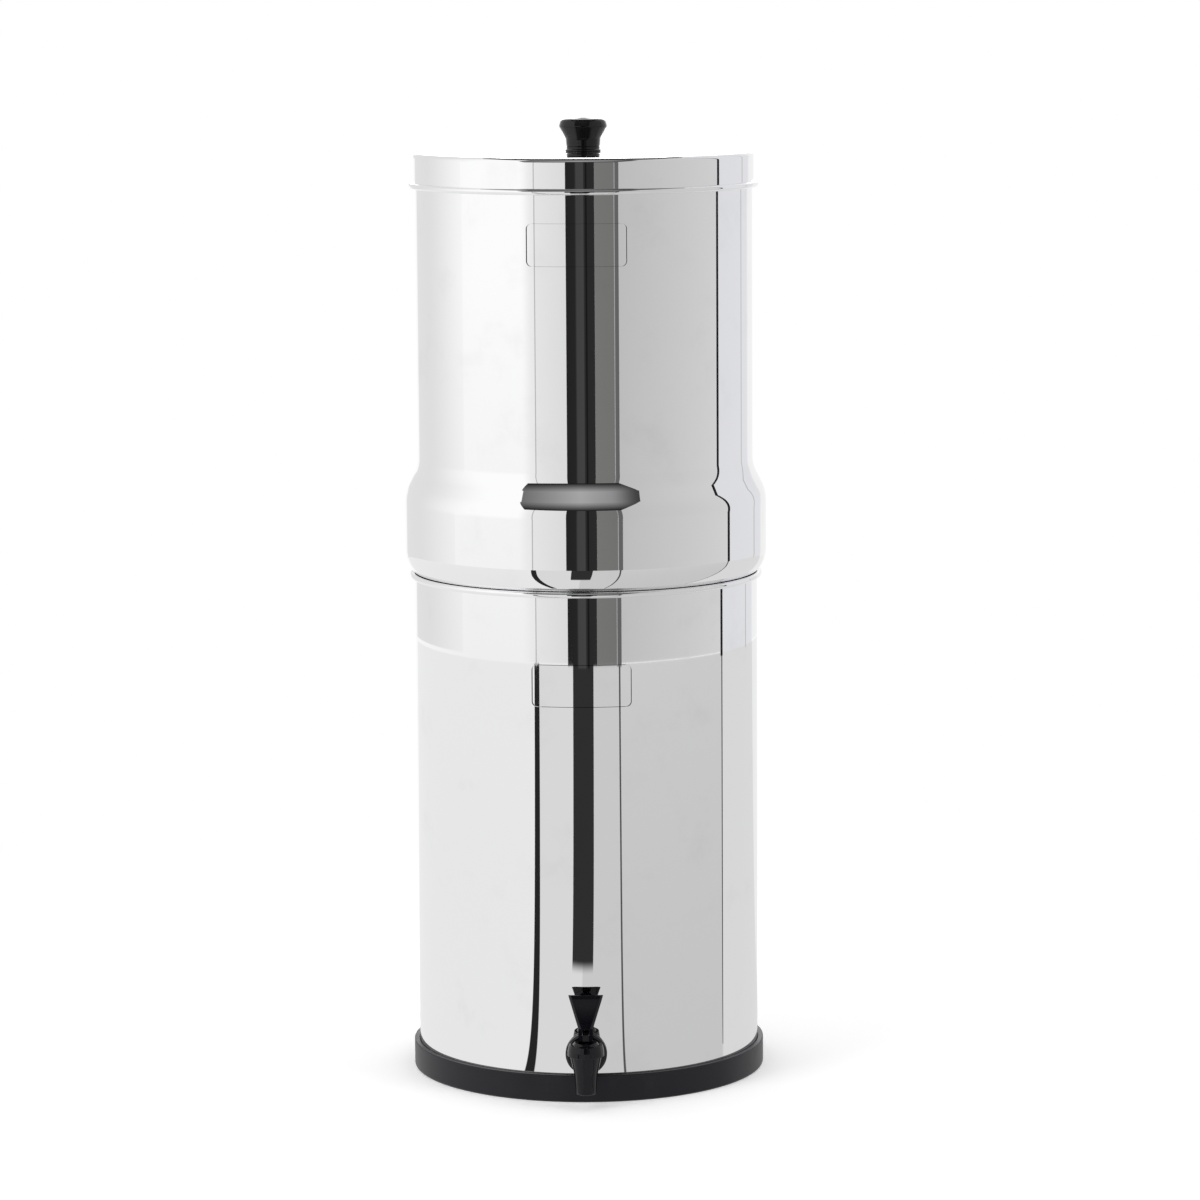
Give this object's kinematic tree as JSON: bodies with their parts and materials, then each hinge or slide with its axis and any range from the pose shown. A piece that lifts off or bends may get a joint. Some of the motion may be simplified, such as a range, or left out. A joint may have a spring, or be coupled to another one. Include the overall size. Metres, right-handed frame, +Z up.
{
  "type": "gravity water filter",
  "caption": "Tall two-chamber polished steel gravity water filter with a knobbed lid, filter elements inside and a self-closing lever tap low on the front.",
  "frame": {"origin": "on the surface the object stands on, under the common axis of the two chambers", "axes": "+Z up along the chambers' axis, -Y towards the tap and the viewer, +X to the viewer's right"},
  "size_m": [0.2876, 0.3186, 0.7624],
  "materials": {
    "polished_steel": "mirror-polished stainless steel sheet",
    "gloss_black_plastic": "glossy moulded black plastic",
    "black_plastic": "satin moulded black plastic",
    "black_rubber": "smooth black rubber",
    "carbon_block": "dull pressed carbon block",
    "nut_plastic": "white nylon",
    "seal_silicone": "translucent silicone",
    "small_steel": "bright drawn steel"
  },
  "bodies": {
    "base": {"base_ring": "black_rubber", "lower_chamber": "polished_steel", "tap_body": "gloss_black_plastic", "tap_outer_washer": "black_rubber", "tap_inner_washer": "black_rubber", "tap_nut": "black_plastic", "tap_bonnet": "gloss_black_plastic", "tap_spring": "small_steel"},
    "upper": {"upper_chamber": "polished_steel", "filter_element_1": "carbon_block", "filter_element_2": "carbon_block", "filter_element_3": "carbon_block", "filter_element_4": "carbon_block", "filter_base_1": "black_plastic", "filter_base_2": "black_plastic", "filter_base_3": "black_plastic", "filter_base_4": "black_plastic", "filter_gasket_1": "black_rubber", "filter_gasket_2": "black_rubber", "filter_gasket_3": "black_rubber", "filter_gasket_4": "black_rubber", "filter_nut_1": "nut_plastic", "filter_nut_2": "nut_plastic", "filter_nut_3": "nut_plastic", "filter_nut_4": "nut_plastic", "hole_plugs": "black_plastic", "hole_plug_washers": "black_rubber", "hole_plug_nuts": "nut_plastic"},
    "cover": {"lid": "polished_steel", "lid_knob": "gloss_black_plastic", "knob_collar": "gloss_black_plastic", "knob_screw": "small_steel", "knob_washer": "small_steel"},
    "valve": {"tap_stem": "gloss_black_plastic", "tap_seat_cup": "seal_silicone"},
    "lever": {"tap_lever": "gloss_black_plastic", "tap_lever_pin": "small_steel"}
  },
  "joints": [
    {"name": "upper_lift", "type": "slide", "parent": "base", "child": "upper", "axis": [0, 0, 1], "range_m": [0, 0.12]},
    {"name": "lid_lift", "type": "slide", "parent": "upper", "child": "cover", "axis": [0, 0, 1], "range_m": [0, 0.1]},
    {"name": "valve_lift", "type": "slide", "parent": "base", "child": "valve", "axis": [0, 0, 1], "range_m": [0, 0.0032], "deforming": ["tap_spring"]},
    {"name": "lever_tilt", "type": "hinge", "parent": "valve", "child": "lever", "pos_m": [0, -0.1605, 0.0592], "axis": [1, 0, 0], "range_deg": [0, 50], "stiffness_Nm_per_rad": 0.12, "springref_deg": -34.38}
  ],
  "couplings": [
    {"joint": "lever_tilt", "follows": "valve_lift", "rad_per_m": 272.71}
  ]
}
